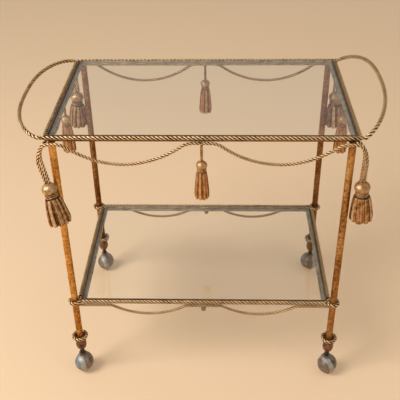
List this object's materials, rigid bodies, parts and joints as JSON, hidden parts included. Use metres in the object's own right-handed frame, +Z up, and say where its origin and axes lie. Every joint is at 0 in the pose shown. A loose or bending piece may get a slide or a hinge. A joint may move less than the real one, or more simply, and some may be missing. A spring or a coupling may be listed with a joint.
{
  "type": "bar cart",
  "caption": "Rolling bar cart of gilt iron with glass trays, twisted rope edges and bow handles, rope swags with tassels, and swivelling ball casters.",
  "frame": {"origin": "on the floor, under the middle of the cart", "axes": "+X along the cart towards the raised handle, +Y towards its back, +Z up"},
  "size_m": [0.8198, 0.5084, 0.7327],
  "materials": {
    "gilt_rope": "worn gilt over iron",
    "gilt_tassel": "worn gilt over cast iron",
    "gilt_leg": "orange gilt tube",
    "angle_iron": "dark bronzed",
    "glass": "clear, polished edges",
    "socket": "dark turned brass",
    "black_steel": "blackened steel",
    "caster_metal": "aged, dull"
  },
  "bodies": {
    "cart": {"leg_front_left": "gilt_leg", "leg_front_right": "gilt_leg", "leg_back_left": "gilt_leg", "leg_back_right": "gilt_leg", "tray_frame": "angle_iron", "shelf_frame": "angle_iron", "tray_glass": "glass", "shelf_glass": "glass", "tray_rope_front": "gilt_rope", "tray_rope_back": "gilt_rope", "tray_rope_left": "gilt_rope", "tray_rope_right": "gilt_rope", "shelf_rope_front": "gilt_rope", "shelf_rope_back": "gilt_rope", "shelf_rope_left": "gilt_rope", "shelf_rope_right": "gilt_rope", "shelf_rings": "gilt_rope", "handle_left": "gilt_rope", "handle_right": "gilt_rope", "swag_front_left": "gilt_rope", "swag_front_right": "gilt_rope", "swag_back_left": "gilt_rope", "swag_back_right": "gilt_rope", "swag_left": "gilt_rope", "swag_right": "gilt_rope", "shelf_swag_front": "gilt_rope", "shelf_swag_back": "gilt_rope", "shelf_swag_left": "gilt_rope", "shelf_swag_right": "gilt_rope", "shelf_knots": "gilt_rope", "tassel_front_left": "gilt_tassel", "tassel_front_right": "gilt_tassel", "tassel_back_left": "gilt_tassel", "tassel_back_right": "gilt_tassel", "tassel_front": "gilt_tassel", "tassel_back": "gilt_tassel", "tassel_left": "gilt_tassel", "tassel_right": "gilt_tassel", "ankle_rings": "gilt_rope", "leg_sockets": "socket"},
    "swivel_front_left": {"caster_stem_front_left": "black_steel", "caster_hood_front_left": "caster_metal", "caster_axle_front_left": "black_steel"},
    "swivel_front_right": {"caster_stem_front_right": "black_steel", "caster_hood_front_right": "caster_metal", "caster_axle_front_right": "black_steel"},
    "swivel_back_left": {"caster_stem_back_left": "black_steel", "caster_hood_back_left": "caster_metal", "caster_axle_back_left": "black_steel"},
    "swivel_back_right": {"caster_stem_back_right": "black_steel", "caster_hood_back_right": "caster_metal", "caster_axle_back_right": "black_steel"},
    "wheel_front_left": {"caster_wheel_front_left": "caster_metal"},
    "wheel_front_right": {"caster_wheel_front_right": "caster_metal"},
    "wheel_back_left": {"caster_wheel_back_left": "caster_metal"},
    "wheel_back_right": {"caster_wheel_back_right": "caster_metal"}
  },
  "joints": [
    {"name": "swivel_turn_front_left", "type": "hinge", "parent": "cart", "child": "swivel_front_left", "pos_m": [-0.3081, -0.19158, 0.06], "axis": [0, 0, 1], "continuous": true},
    {"name": "swivel_turn_front_right", "type": "hinge", "parent": "cart", "child": "swivel_front_right", "pos_m": [0.3191, -0.19158, 0.06], "axis": [0, 0, 1], "continuous": true},
    {"name": "swivel_turn_back_left", "type": "hinge", "parent": "cart", "child": "swivel_back_left", "pos_m": [-0.3081, 0.21782, 0.06], "axis": [0, 0, 1], "continuous": true},
    {"name": "swivel_turn_back_right", "type": "hinge", "parent": "cart", "child": "swivel_back_right", "pos_m": [0.3191, 0.21782, 0.06], "axis": [0, 0, 1], "continuous": true},
    {"name": "wheel_spin_front_left", "type": "hinge", "parent": "swivel_front_left", "child": "wheel_front_left", "pos_m": [-0.30667, -0.19532, 0.025], "axis": [-0.9266, -0.3557, -0.1219], "continuous": true},
    {"name": "wheel_spin_front_right", "type": "hinge", "parent": "swivel_front_right", "child": "wheel_front_right", "pos_m": [0.32156, -0.19474, 0.025], "axis": [-0.7821, -0.6111, -0.1219], "continuous": true},
    {"name": "wheel_spin_back_left", "type": "hinge", "parent": "swivel_back_left", "child": "wheel_back_left", "pos_m": [-0.30641, 0.21419, 0.025], "axis": [-0.8996, -0.4195, -0.1219], "continuous": true},
    {"name": "wheel_spin_back_right", "type": "hinge", "parent": "swivel_back_right", "child": "wheel_back_right", "pos_m": [0.3171, 0.22128, 0.025], "axis": [0.8596, 0.4963, -0.1219], "continuous": true}
  ]
}
